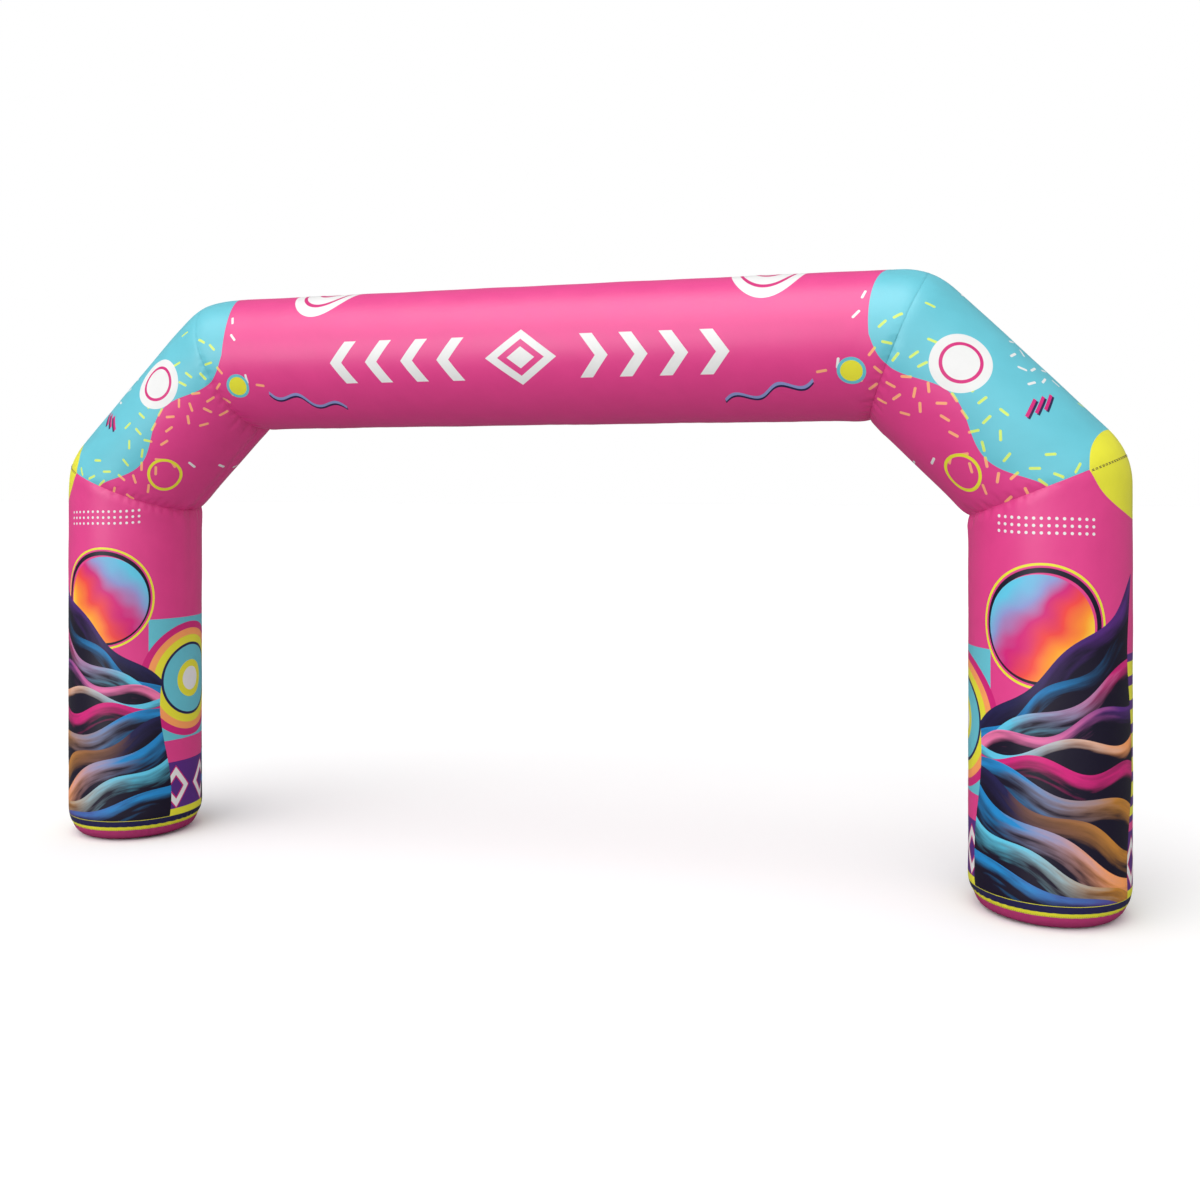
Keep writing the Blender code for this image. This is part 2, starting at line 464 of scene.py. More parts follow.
# %% A workbench for nodes
class Bench:
    """A material's workbench: it places nodes and wires them."""

    def __init__(self, name):
        self.material = bpy.data.materials.new(name)
        self.material.use_nodes = True
        self.tree = self.material.node_tree
        self.tree.nodes.clear()

    def node(self, kind, settings=None, values=None, out=0):
        """Adds a node: settings first, then values or links on its sockets; gives one output.

        A ramp's stops are (position, colour) pairs under the name "stops".
        """
        node = self.tree.nodes.new("ShaderNode" + kind)
        settings = dict(settings or {})
        stops = settings.pop("stops", ())
        if stops:
            ramp = node.color_ramp.elements
            for position, _ in stops[1:-1]:
                ramp.new(position)
            for stop, (position, colour) in zip(ramp, stops):
                stop.position, stop.color = position, colour
        for key, value in settings.items():
            setattr(node, key, value)
        for key, value in (values or {}).items():
            socket = node.inputs[key]
            if isinstance(value, Value):
                self.tree.links.new(value.socket, socket)
            else:
                socket.default_value = value
        return Value(self, node.outputs[out]) if len(node.outputs) else None

    def vector(self, operation, *values, out=0, **named):
        return self.node("VectorMath", {"operation": operation}, {**dict(enumerate(values)), **named}, out)

    def mix(self, factor, below, above):
        """Colour above laid over colour below where factor is 1."""
        return self.node("Mix", {"data_type": "RGBA"}, {0: factor, 6: below, 7: above}, 2)

    def clamp(self, value):
        return value.math("ADD", 0.0, clamp=True)

    def plain(self, colour):
        """One colour everywhere."""
        paint = self.node("RGB")
        paint.socket.default_value = colour
        return paint

    def finished(self, shader):
        """Wires a shader to the material's output and gives the material."""
        self.node("OutputMaterial", None, {"Surface": shader})
        return self.material


# %% Paints
def srgb(red, green, blue):
    """A paint colour from its 0 to 255 screen values."""
    return (*(((v / 255 + 0.055) / 1.055) ** 2.4 for v in (red, green, blue)), 1.0)


PINK = srgb(221, 60, 135)
TEAL = srgb(98, 190, 206)
YELLOW = srgb(228, 224, 50)
WHITE = srgb(228, 228, 227)
ORANGE = srgb(250, 160, 92)
SALMON = srgb(250, 172, 122)
LIME = srgb(206, 230, 104)
MAGENTA = srgb(206, 24, 118)
PURPLE = srgb(88, 36, 128)
INDIGO = srgb(20, 12, 38)
NAVY = srgb(34, 30, 78)
LILAC = srgb(140, 150, 206)
SEA = srgb(26, 134, 200)
SKY = srgb(92, 196, 226)
ROSE = srgb(240, 120, 170)
GOLD = srgb(196, 130, 44)
# Base caps: a darker pink than the ground, which paints in the shade that falls on the feet by the floor.
SHADED_CAP_PINK = srgb(176, 46, 108)


# %% [markdown]
# ## Shapes on the flat template
# A printer prints from a flat front view of the arch, unrolled, and the cutter cuts the panels
# out of it. So all shapes live in one plane, x across and z up, and cross the seams unbroken. A
# shape is its distance function: negative inside, so a mask is 1 there and 0 outside.

# %% Distance functions
EDGE = 0.0012               # width of a printed edge


class Template:
    """The flat print of one panel, mirrored about the middle of the arch."""

    def __init__(self, bench):
        self.bench = bench
        flat = bench.node("UVMap", {"uv_map": "print"})
        split = bench.node("SeparateXYZ", None, {0: flat}).socket.node
        self.x = abs(Value(bench, split.outputs[0]))
        self.z = Value(bench, split.outputs[1])
        self.place = bench.node("CombineXYZ", None, {0: self.x, 1: self.z})

    def inside(self, distance):
        """1 where the distance is negative, 0 where it is positive."""
        return distance.math("MULTIPLY_ADD", -1.0 / EDGE, 0.5, clamp=True)

    def lay(self, colour, shape, *bands):
        """Lays a shape over a colour, once for each band: how much it grows, and its paint."""
        for growth, paint in bands:
            colour = self.bench.mix(self.inside(shape - growth if growth else shape), colour, paint)
        return colour

    def reach(self, direction, start, place=None):
        """How far a point, or another given place, lies along a direction from a start point."""
        dx, dz = direction
        offset = dx * start[0] + dz * start[1]
        return self.bench.vector("DOT_PRODUCT", place or self.place, (dx, dz, 0.0), out=1) - offset

    def along_and_over(self, centre, angle):
        """How far a point lies along, and how far across, a direction at an angle in degrees."""
        cos, sin = math.cos(math.radians(angle)), math.sin(math.radians(angle))
        return self.reach((cos, sin), centre), self.reach((-sin, cos), centre)

    def from_point(self, centre, place=None):
        return self.bench.vector("DISTANCE", place or self.place, (*centre, 0.0), out=1)

    def disc(self, centre, radius):
        return self.from_point(centre) - radius

    def ring(self, centre, radius, width):
        return abs(self.disc(centre, radius)) - width / 2

    def oval(self, centre, half_width, half_height):
        """An upright ellipse; its distance is exact only near its narrow sides."""
        from_centre = self.bench.vector("SUBTRACT", self.place, (*centre, 0.0))
        stretched = self.bench.vector("MULTIPLY", from_centre, (1.0, half_width / half_height, 0.0))
        return self.bench.vector("LENGTH", stretched, out=1) - half_width

    def bar(self, centre, length, width, angle):
        """A rectangle of some length and width, turned by an angle in degrees."""
        along, over = self.along_and_over(centre, angle)
        return (abs(along) - length / 2).both(abs(over) - width / 2)

    def squiggle(self, centre, length, width, angle, height, waves):
        """A wavy line: a bar whose middle follows a sine."""
        along, over = self.along_and_over(centre, angle)
        middle = (along * (2 * math.pi * waves / length)).sine() * height
        return (abs(over - middle) - width / 2).both(abs(along) - length / 2)


# %% [markdown]
# ## Sprinkles
# Short strokes are strewn like confetti. The plane is cut into square cells, a noise gives each
# cell its own turn and small shift, and a stroke is drawn near the middle of each chosen cell.

# %% One stroke in every cell
CELL, CELL_TURN = 0.090, 0.42
STROKE_LENGTH, STROKE_WIDTH = 0.041, 0.0135
SCATTER = 0.34              # how far a stroke can be shifted each way, in half cells


def sprinkles(template):
    """A distance to the nearest stroke, its cell's middle, and three random numbers per cell."""
    bench = template.bench
    turned = bench.node("Mapping", {"vector_type": "TEXTURE"},
                        {"Vector": template.place, "Rotation": (0.0, 0.0, CELL_TURN)})
    scaled = bench.vector("SCALE", turned, Scale=1.0 / CELL)
    cell = bench.vector("FLOOR", scaled)
    chance = bench.node("TexWhiteNoise", {"noise_dimensions": "2D"}, {"Vector": cell}, 1)
    split = bench.node("SeparateColor", None, {0: chance}).socket.node
    first, second, third = (Value(bench, split.outputs[n]) for n in range(3))
    local = bench.vector("SUBTRACT", bench.vector("SUBTRACT", scaled, cell), (0.5, 0.5, 0.0))
    parts = bench.node("SeparateXYZ", None, {0: local}).socket.node
    across = (Value(bench, parts.outputs[0]) + (first - 0.5) * SCATTER) * CELL
    up = (Value(bench, parts.outputs[1]) + (second - 0.5) * SCATTER) * CELL
    turn = third * math.pi
    cos, sin = turn.math("COSINE"), turn.sine()
    past = (abs(across * cos + up * sin) - STROKE_LENGTH / 2).both(0.0)
    over = up * cos - across * sin
    distance = (past * past + over * over).math("SQRT") - STROKE_WIDTH / 2
    middle = bench.vector("SCALE", bench.vector("ADD", cell, (0.5, 0.5, 0.0)), Scale=CELL)
    home = bench.node("Mapping", {"vector_type": "POINT"},
                      {"Vector": middle, "Rotation": (0.0, 0.0, CELL_TURN)})
    return distance, home, (first, second, third)


# %% [markdown]
# ## The elbows
# Pink is the ground, and a teal field with a wavy edge covers the outer half of each shoulder. A
# ribbon of sprinkles follows that edge. A white disc lies high on the teal and three slanted bars
# low on it, and a yellow ring lies on the pink inside the bend. A yellow oval wraps the outer side
# of each lower elbow. A white oval with pink rings, a wavy line and a dot end the beam.

# %% Places on a shoulder
SHOULDER_MIDDLE = ((LEG_X + CORNER_X) / 2, (ELBOW_Z + BEAM_Z) / 2)
HALF_ROUND = RADIUS * math.pi / 2
OUTER_X = LEG_X + HALF_ROUND
SLOPE = math.sqrt(0.5)
UPWARD, OUTWARD = (-SLOPE, SLOPE), (SLOPE, SLOPE)


def on_shoulder(up, out):
    """Where a point lies in the print, from how far up and out it is from the shoulder's middle."""
    return (SHOULDER_MIDDLE[0] + (out - up) * SLOPE, SHOULDER_MIDDLE[1] + (out + up) * SLOPE)


def teal_edge(up, out):
    """Distance to the wavy line where teal begins: a sine along the shoulder."""
    return (up * (2 * math.pi / 0.66) + 0.4).sine() * 0.055 - out - 0.075


def teal_field(template):
    """Distance to the teal field: outside the wavy line and inside a big disc."""
    up = template.reach(UPWARD, SHOULDER_MIDDLE)
    out = template.reach(OUTWARD, SHOULDER_MIDDLE)
    return teal_edge(up, out).both(template.disc((LEG_X + 0.02, BEAM_Z + 0.07), 0.86))


# %% Strew the sprinkles
RIBBON_REACH, RIBBON_END = 0.15, 0.60       # half the ribbon's width, and how far it runs each way
RAGGED = 0.09                               # how unevenly its sides end
CLUSTER_PLACE, CLUSTER_REACH = on_shoulder(-0.04, 0.42), 0.17
STRAY_REACH, STRAY_SHARE = 0.80, 0.15       # how far strays lie, and the share of cells with one
WHITE_SHARE = 0.45                          # the share of strays that are white
FREE_EDGE = 0.07                            # width kept free by the inner and outer lines


def strew(template, colour, teal):
    """A ribbon of sprinkles along the edge of the teal, a white cluster and a few strays.

    They stay off the inner and the outer line, where front and back mirror and would cut them.
    Near a seam the print turns back a little earlier, so there one can still be cut.
    """
    bench = template.bench
    stroke, home, (first, second, third) = sprinkles(template)
    hot = bench.mix(teal, SALMON, LIME)
    stray_paint = bench.mix(third > WHITE_SHARE, WHITE, hot)
    up = template.reach(UPWARD, SHOULDER_MIDDLE, home)
    out = template.reach(OUTWARD, SHOULDER_MIDDLE, home)
    drawn = template.inside(stroke) * (abs(out) < HALF_ROUND - FREE_EDGE)
    from_middle = template.from_point(SHOULDER_MIDDLE, home)
    strays = (second < STRAY_SHARE) * (from_middle < STRAY_REACH)
    ragged = abs(teal_edge(up, out)) + (first - 0.5) * RAGGED
    ribbon = (ragged < RIBBON_REACH) * (from_middle < RIBBON_END)
    cluster = template.from_point(CLUSTER_PLACE, home) < CLUSTER_REACH
    for chosen, paint in ((strays, stray_paint), (ribbon, hot), (cluster, WHITE)):
        colour = bench.mix(drawn * chosen, colour, paint)
    return colour


# %% Draw the elbows
def shoulder_motifs(template, colour):
    """A white disc with a pink ring, a plain yellow ring, and three bars with dark shadows."""
    colour = template.lay(colour, template.from_point(on_shoulder(0.20, 0.12)),
                          (0.150, WHITE), (0.105, MAGENTA), (0.088, WHITE))
    colour = template.lay(colour, template.ring(on_shoulder(-0.17, -0.27), 0.090, 0.016), (0, YELLOW))
    x, z = on_shoulder(-0.20, 0.24)
    for step in (-1, 0, 1):
        for shift, paint in ((0.009, NAVY), (0.0, MAGENTA)):
            centre = (x + 0.048 * step + shift, z + 0.020 * step - shift)
            colour = template.lay(colour, template.bar(centre, 0.105, 0.017, 62), (0, paint))
    return colour


def half_sun(template, colour):
    """A yellow oval round the outer side of the lower elbow, on shoulder and leg."""
    oval = template.oval((OUTER_X - 0.01, ELBOW_Z + 0.10), 0.41, 0.24)
    return template.lay(colour, oval, (0, YELLOW))


def beam_end_motifs(template, colour):
    """A ringed white oval over the top, a wavy line with a dark edge below it, and a ringed dot."""
    oval = template.oval((CORNER_X - 0.66, BEAM_Z + HALF_ROUND), 0.20, 0.36)
    colour = template.lay(colour, oval, (0, WHITE), (-0.044, MAGENTA), (-0.060, WHITE),
                          (-0.120, MAGENTA), (-0.140, WHITE))
    for shift, paint in ((0.0, NAVY), (0.012, LILAC)):
        centre = (CORNER_X - 0.63, BEAM_Z - 0.27 + shift)
        colour = template.lay(colour, template.squiggle(centre, 0.46, 0.018, 14, 0.026, 2.0), (0, paint))
    dot = template.from_point((CORNER_X - 0.22, BEAM_Z - 0.16))
    return template.lay(colour, dot, (0.070, TEAL), (0.054, YELLOW))


def elbow_print(template, colour):
    """The teal field and all that lies on it and round it, over the ground colour."""
    teal = template.inside(teal_field(template))
    colour = half_sun(template, template.bench.mix(teal, colour, TEAL))
    colour = strew(template, colour, teal)
    return beam_end_motifs(template, shoulder_motifs(template, colour))


# %% [markdown]
# ## The ornament on the beam
# A plain white diamond in the middle, with chevrons running out to both sides, as on many start
# and finish arches.

# %% Draw the beam's ornament
ORNAMENT_Z = BEAM_Z - 0.045
CHEVRON_HEIGHT, CHEVRON_WIDTH = 0.230, 0.068
CHEVRON_PLACES = 0.44, 0.65, 0.86, 1.07     # how far their points lie from the middle of the arch


def beam_ornament(template, colour):
    """Diamond within diamond, and four chevrons that mirror to the other side."""
    up = abs(template.z - ORNAMENT_Z)
    diamond = template.x * 0.60 + up * 0.80
    colour = template.lay(colour, diamond, (0.118, WHITE), (0.078, PINK), (0.046, WHITE))
    tall = up - CHEVRON_HEIGHT / 2
    for place in CHEVRON_PLACES:
        stroke = abs(template.x + up * 0.75 - place) - CHEVRON_WIDTH / 2
        colour = template.lay(colour, stroke.both(tall), (0, WHITE))
    return colour


# %% [markdown]
# ## The picture on the legs
# Each leg carries a bright abstract picture. A disc glows from blue to gold over folds of silk,
# which run from blue on the inner side over rose to gold on the outer one, out of near black.
# Blocks and bows in teal, yellow and purple stand behind, over a band of diamonds at the foot.

# %% Dots and blocks
DOT_PITCH, DOT_RADIUS = 0.034, 0.0075
DOT_COLUMNS, DOT_ROWS = 14, 3
RUNG_PITCH = 0.115
DIAMOND_PITCH = 2 * HALF_ROUND / 5          # five across the front, five across the back


def dot_patch(template, colour):
    """A patch of small white dots near the top of the leg."""
    bench = template.bench
    scaled = bench.vector("SCALE", template.place, Scale=1.0 / DOT_PITCH)
    local = bench.vector("SUBTRACT", bench.vector("FRACTION", scaled), (0.5, 0.5, 0.0))
    dots = bench.vector("LENGTH", local, out=1) * DOT_PITCH - DOT_RADIUS
    patch = template.bar((LEG_X - 0.03, 55.5 * DOT_PITCH), DOT_COLUMNS * DOT_PITCH, DOT_ROWS * DOT_PITCH, 0)
    return template.lay(colour, dots.both(patch), (0, WHITE))


def blocks(template, colour):
    """Teal block with bows on the inner side, purple block with yellow rungs on the outer one."""
    inner = template.bar((LEG_X - 0.52, 0.93), 0.42, 0.72, 0)
    outer = template.bar((LEG_X + 0.52, 0.88), 0.34, 0.80, 0)
    rungs = (abs((template.z / RUNG_PITCH).math("FRACT") - 0.5) - 0.30) * RUNG_PITCH
    for shape, paint in ((inner, TEAL), (outer, PURPLE), (rungs.both(outer + 0.03), YELLOW)):
        colour = template.lay(colour, shape, (0, paint))
    bows = template.from_point((LEG_X - HALF_ROUND, 0.92))
    return template.lay(colour, bows, (0.34, MAGENTA), (0.30, ORANGE), (0.26, YELLOW), (0.215, NAVY),
                        (0.20, TEAL), (0.11, YELLOW), (0.07, WHITE))


def foot_band(template, colour):
    """A purple band with ten white diamonds round the leg, over yellow and dark stripes."""
    colour = template.lay(colour, abs(template.z - 0.285) - 0.155, (0, PURPLE))
    step = ((template.x - LEG_X + HALF_ROUND) / DIAMOND_PITCH).math("FRACT") - 0.5
    diamond = abs(step * DIAMOND_PITCH) * 0.78 + abs(template.z - 0.290) * 0.62
    colour = template.lay(colour, diamond, (0.080, MAGENTA), (0.073, WHITE), (0.044, MAGENTA),
                          (0.036, PURPLE))
    return template.lay(colour, template.z, (0.165, YELLOW), (0.125, NAVY), (0.090, YELLOW))


# %% [markdown]
# Silk is drawn fold by fold from the back to the front. A fold is bright along its wavy crest and
# sinks into the dark below it, where the next one starts. Its colour changes from one side of the
# leg to the other, and streaks along it give it a sheen.

# %% The glowing disc and the silk
GLOW, GLOW_RADIUS = (LEG_X - 0.06, 1.41), 0.25
SILK_HALF_WIDTH, SILK_FOOT = 0.43, 0.128
SILK = (     # crest's height on the axis, its slope, wave height, length, phase, depth, two colours
    (1.24, 40, 0.020, 0.52, 0.4, 0.085, NAVY, PURPLE),
    (1.13, 34, 0.026, 0.46, 2.0, 0.060, SEA, INDIGO),
    (1.04, 26, 0.028, 0.56, 3.6, 0.075, SKY, MAGENTA),
    (0.95, 15, 0.034, 0.50, 5.0, 0.070, ROSE, PURPLE),
    (0.86, 6, 0.036, 0.58, 0.8, 0.060, SKY, ORANGE),
    (0.78, -4, 0.032, 0.48, 2.6, 0.085, MAGENTA, MAGENTA),
    (0.67, -14, 0.030, 0.60, 4.2, 0.100, SEA, GOLD),
    (0.55, -22, 0.028, 0.52, 5.8, 0.090, NAVY, GOLD),
    (0.44, -26, 0.026, 0.62, 1.2, 0.110, SEA, ORANGE),
    (0.31, -22, 0.022, 0.50, 3.0, 0.085, SKY, GOLD),
    (0.20, -14, 0.016, 0.56, 4.8, 0.075, SEA, PURPLE))


def glowing_disc(template, colour):
    """A disc whose colour runs from blue at one side over magenta to gold, in two thin rings."""
    bench = template.bench
    for radius, width, paint in ((0.290, 0.012, YELLOW), (0.262, 0.024, INDIGO)):
        ring = template.ring((GLOW[0] + 0.012, GLOW[1] + 0.008), radius, width)
        colour = template.lay(colour, ring, (0, paint))
    run = bench.clamp(template.reach((0.78, -0.62), GLOW) / 0.48 + 0.5)
    wander = bench.node("TexNoise", {"noise_dimensions": "2D"},
                        {"Vector": template.place, "Scale": 4.5, "Detail": 1.5})
    glow = bench.node("ValToRGB", {"stops": (
        (0.05, SKY), (0.24, LILAC), (0.42, MAGENTA), (0.62, srgb(236, 66, 60)),
        (0.80, srgb(250, 150, 40)), (0.97, srgb(252, 214, 60)))}, {0: run + (wander - 0.5) * 0.34})
    return template.lay(colour, template.disc(GLOW, GLOW_RADIUS), (0, glow))


def silk_fold(template, colour, flank, fold):
    """Lays one fold over a colour; it is bright at its crest and dark a depth below."""
    bench = template.bench
    rise, slope, height, length, phase, depth, inner_paint, outer_paint = fold
    along, over = template.along_and_over((LEG_X, rise), slope)
    crest = (along * (2 * math.pi / length) + phase).sine() * height
    below = crest - over
    spot = bench.node("CombineXYZ", None, {0: along * 3.4, 1: below * 24.0, 2: phase})
    streak = bench.node("TexNoise", None, {"Vector": spot, "Scale": 1.0, "Detail": 3.0}) - 0.5
    bright = bench.mix(bench.clamp(along * 1.7 + streak * 0.9 + 0.42), inner_paint, outer_paint)
    shade = bench.clamp(below * (1.0 / depth) + streak * 2.2 - 0.10)
    return template.lay(colour, (-below).both(flank), (0, bench.mix(shade, bright, INDIGO)))


def leg_picture(template, colour):
    """Everything on the leg, from the back to the front."""
    for layer in (dot_patch, blocks, foot_band, glowing_disc):
        colour = layer(template, colour)
    side = template.x - LEG_X
    flank = abs(side - 0.02 + (template.z * 6.0).sine() * 0.035) - SILK_HALF_WIDTH
    flank = flank.both(-template.z + SILK_FOOT)
    for fold in SILK:
        colour = silk_fold(template, colour, flank, fold)
    return colour


# %% [markdown]
# ## Printed polyester
# The cloth has a satin face: it shines softly and broadly, not like plastic. Its weave is only
# just felt, so it is a fine bump, and the ink varies a little in strength from place to place.

# %% The printed cloths
SATIN_ROUGHNESS, CAP_ROUGHNESS, SATIN_SPECULAR = 0.40, 0.50, 0.36
WEAVE_PITCH, WEAVE_DEPTH, MOTTLE_DEPTH = 0.0024, 0.00005, 0.0006


def cloth_finish(bench, colour, roughness):
    """Wires a colour into a satin cloth shader with a fine weave and a slight mottle."""
    threads = bench.node("UVMap", {"uv_map": "cloth"})
    mottle = bench.node("TexNoise", {"noise_dimensions": "2D"},
                        {"Vector": threads, "Scale": 7.0, "Detail": 4.0, "Roughness": 0.55})
    strength = (mottle - 0.5) * 0.10 + 1.0
    shaded = bench.vector("SCALE", colour, Scale=strength)
    split = bench.node("SeparateXYZ", None, {0: threads}).socket.node
    weave_step = 2 * math.pi / WEAVE_PITCH
    warp = (Value(bench, split.outputs[0]) * weave_step).math("SINE")
    weft = (Value(bench, split.outputs[1]) * weave_step).math("SINE")
    height = warp * weft * WEAVE_DEPTH + mottle * MOTTLE_DEPTH
    bump = bench.node("Bump", None, {"Strength": 0.6, "Distance": 1.0, "Height": height})
    gloss = mottle * 0.10 + (roughness - 0.05)
    shader = bench.node("BsdfPrincipled", None, {
        "Base Color": shaded, "Roughness": gloss, "Normal": bump,
        "Specular IOR Level": SATIN_SPECULAR})
    return bench.finished(shader)


def printed_cloth(name, *layers):
    """A material whose colour is the pink ground with the given drawings laid over it."""
    bench = Bench(name)
    template, colour = Template(bench), bench.plain(PINK)
    for layer in layers:
        colour = layer(template, colour)
    return cloth_finish(bench, colour, SATIN_ROUGHNESS)


beam_cloth = printed_cloth("beam_print", elbow_print, beam_ornament)
shoulder_cloth = printed_cloth("shoulder_print", elbow_print)
leg_cloth = printed_cloth("leg_print", half_sun, leg_picture)
# The caps' cloth carries that darker pink, painted shade of the feet.
cap_bench = Bench("cap_cloth")
cap_cloth = cloth_finish(cap_bench, cap_bench.plain(SHADED_CAP_PINK), CAP_ROUGHNESS)

# %% [markdown]
# ## The panels
# Rings crowd near the seams, where the cloth is busy, and spread out where it runs smooth. The
# print's map gives each point its place on the flat template. It is the arch's plain front view,
# but near a seam the print slides along the threads until the seam is a straight line, so that
# what is printed across it meets itself on the other side.

# %% Rings along a thread
NEAR = 0.20                 # length of cloth by a seam that gets close rings
NEAR_RINGS = 25             # ... and how many
RING_SPACING = 0.060        # about how far apart the rings are elsewhere
PRINT_REACH = 0.60          # length over which the print slides back to its true place
near_steps = NEAR * (np.arange(NEAR_RINGS + 1) / NEAR_RINGS) ** 1.7


def thread_length(axis_length, around, mitres):
    """Length of a thread: the axis, longer by its arcs outside and shorter inside the bends."""
    offset = RADIUS * np.cos(around)
    per_end = np.maximum(offset, 0.0) * MITRE - np.maximum(-offset, 0.0) * math.tan(MITRE)
    return axis_length + mitres * per_end


def ring_distances(length, far_seam):
    """Distances from the near seam, one column per thread; close together by each seam."""
    spare = length - NEAR * (2 if far_seam else 1)
    count = int(math.ceil(float(spare.max()) / RING_SPACING))
    middle = NEAR + spare[None, :] * (np.arange(1, count + 1) / count)[:, None]
    rows = [near_steps[:, None] * np.ones_like(length), middle]
    if far_seam:
        rows.append(length[None, :] - near_steps[::-1][1:, None])
    return np.concatenate(rows)


# %% The print's place
TURN = 0.40                 # angle over which the print turns back at the outer and inner lines


def side_offset(around, easing):
    """Height t of a thread over the tube's front line on the flat template.

    t = radius (pi/2 - |angle|). The back mirrors the front, and where the two meet near a seam
    the turn is rounded off, so the print has no kink there; easing, 1 at the seam, says how much.
    """
    from_outer, from_inner = np.abs(around), math.pi - np.abs(around)
    rounding = np.maximum(TURN - from_outer, 0.0) ** 2 - np.maximum(TURN - from_inner, 0.0) ** 2
    return RADIUS * (math.pi / 2 - from_outer - easing * rounding / (2 * TURN))


def print_easing(from_seam, length):
    """1 at the seam, easing out to nothing."""
    part = np.clip(from_seam / np.minimum(PRINT_REACH, length / 2), 0.0, 1.0)
    return 1.0 - part * part * (3.0 - 2.0 * part)


def print_slide(easing, around):
    """How far the print slides along a thread towards the seam.

    At the seam it makes up the difference between the template's straight mitre, -t tan(mitre),
    and the place where the thread really starts.
    """
    offset = RADIUS * np.cos(around)
    true_start = -offset * np.where(offset > 0.0, math.sin(MITRE), math.tan(MITRE))
    return (-side_offset(around, 1.0) * math.tan(MITRE) - true_start) * easing


def flat_place(points, corner, inward, outward, slide, rise):
    """The template's x and z: true length along the axis, plus the slide, and the side offset."""
    along = (points - corner) @ inward + slide
    flat = corner + along[..., None] * inward + rise[..., None] * outward
    return flat[..., [0, 2]]


# %% A tube with a mitre at both ends
def two_mitre_panel(name, start, finish, outward, seeds, lapped):
    """Grid, print map and cloth map of a tube that runs from one corner to the other."""
    axis = finish - start
    axis_length = float(np.linalg.norm(axis))
    inward = axis / axis_length
    length = thread_length(axis_length, around_line, 2)
    from_start = ring_distances(length, True)
    from_finish = length - from_start
    around = around_line * np.ones_like(from_start)
    near, near_out = mitred_cloth(start, inward, outward, from_start, around)
    far, far_out = mitred_cloth(finish, -inward, outward, from_finish, around)
    pick = (from_start < from_finish)[..., None]
    points, out = np.where(pick, near, far), np.where(pick, near_out, far_out)
    lift = (loose_relief(from_start, around, seeds[0])
            + loose_relief(from_finish, around, seeds[1])
            + slack(from_start, around, seeds[0]))
    grid = blown_up(name, points + lift[..., None] * out, np.minimum(from_start, from_finish), around)
    sewn = sewn_relief(from_start, around, lapped) + sewn_relief(from_finish, around, lapped)
    grid = grid + sewn[..., None] * out
    for corner, sign, from_seam in ((start, 1, from_start), (finish, -1, from_finish)):
        seam_normal = sign * math.cos(MITRE) * inward + math.sin(MITRE) * outward
        grid = clear_of_seam(grid, corner, seam_normal, from_seam)
    easings = print_easing(from_start, length), print_easing(from_finish, length)
    slide = print_slide(easings[0], around) - print_slide(easings[1], around)
    print_map = flat_place(points, start, inward, outward, slide, side_offset(around, sum(easings)))
    return grid, print_map, np.stack([from_start, RADIUS * around], -1)


def mitre_corner(x, z, side):
    """A corner of the arch's axis on the left, -1, or the right, 1."""
    return np.array((side * x, 0.0, z))


# %% [markdown]
# ### The beam and the shoulders
# Both are tubes with a mitre at either end; only their corners and their outer side differ. The
# seam allowance is turned towards the beam at the upper seams and towards the leg at the lower.

# %% Make the beam and the shoulders
SEAM_SEEDS = {("lower", -1): 1.3, ("lower", 1): 2.9, ("upper", -1): 4.4, ("upper", 1): 5.8}

beam_corners = [mitre_corner(CORNER_X, BEAM_Z, side) for _, side in SIDES]
beam_seeds = [SEAM_SEEDS["upper", side] for _, side in SIDES]
beam_maps = two_mitre_panel("beam_panel", *beam_corners, Z_AXIS, beam_seeds, 1)
finish_piece(closed_panel("beam_panel", *beam_maps), beam_cloth, "beam")

for word, side in SIDES:
    name = f"shoulder_panel_{word}"
    shoulder_maps = two_mitre_panel(
        name, mitre_corner(LEG_X, ELBOW_Z, side), mitre_corner(CORNER_X, BEAM_Z, side),
        unit((side, 0.0, 1.0)), (SEAM_SEEDS["lower", side], SEAM_SEEDS["upper", side]), 0)
    shoulder = closed_panel(name, *shoulder_maps)
    finish_piece(shoulder, shoulder_cloth, f"shoulder_{word}")

# %% [markdown]
# ### The legs
# A leg has one mitre, at the top. At the foot its cloth curves in on a quarter of an ellipse to
# the seam of the base cap, and is drawn in there a little. The air works on leg and cap too, and
# the cap stays flat where it stands on the ground.

# %% The foot of a leg
CAP_SEAM_DEPTH, CAP_SEAM_REACH = 0.003, 0.030
CAP_PUCKERS, CAP_PUCKER_DEPTH, CAP_PUCKER_REACH = 53, 0.0022, 0.022
FOOT_RINGS, CAP_RINGS = 25, 30
CALM_LENGTH = 0.2           # above the foot the leg's relief fades out over this length
FOOT_CLOTH = 0.1            # about the length of cloth in the foot's curve
CAP_ANGLE = math.asin(1.0 - CAP_Z / BASE_RISE)
PROFILE_SCALE = (BASE_RISE + BASE_INSET) / 2


def foot_cloth(side, angle, around, seed):
    """Points of a leg's foot: a turned quarter ellipse, from 0, upright, to 90 degrees, ground."""
    from_seam = np.abs(angle - CAP_ANGLE) * PROFILE_SCALE
    radius = RADIUS - BASE_INSET * (1.0 - np.cos(angle))
    radius = radius - CAP_SEAM_DEPTH * np.clip(1.0 - from_seam / CAP_SEAM_REACH, 0.0, 1.0) ** 2
    pucker = ripple(around, CAP_PUCKERS, seed) * np.exp(-from_seam / CAP_PUCKER_REACH)
    radius = radius - CAP_PUCKER_DEPTH * pucker
    height = BASE_RISE * (1.0 - np.sin(angle)) * np.ones_like(around)
    x = side * (LEG_X + radius * np.cos(around))
    return np.stack([x, radius * np.sin(around), height], -1)


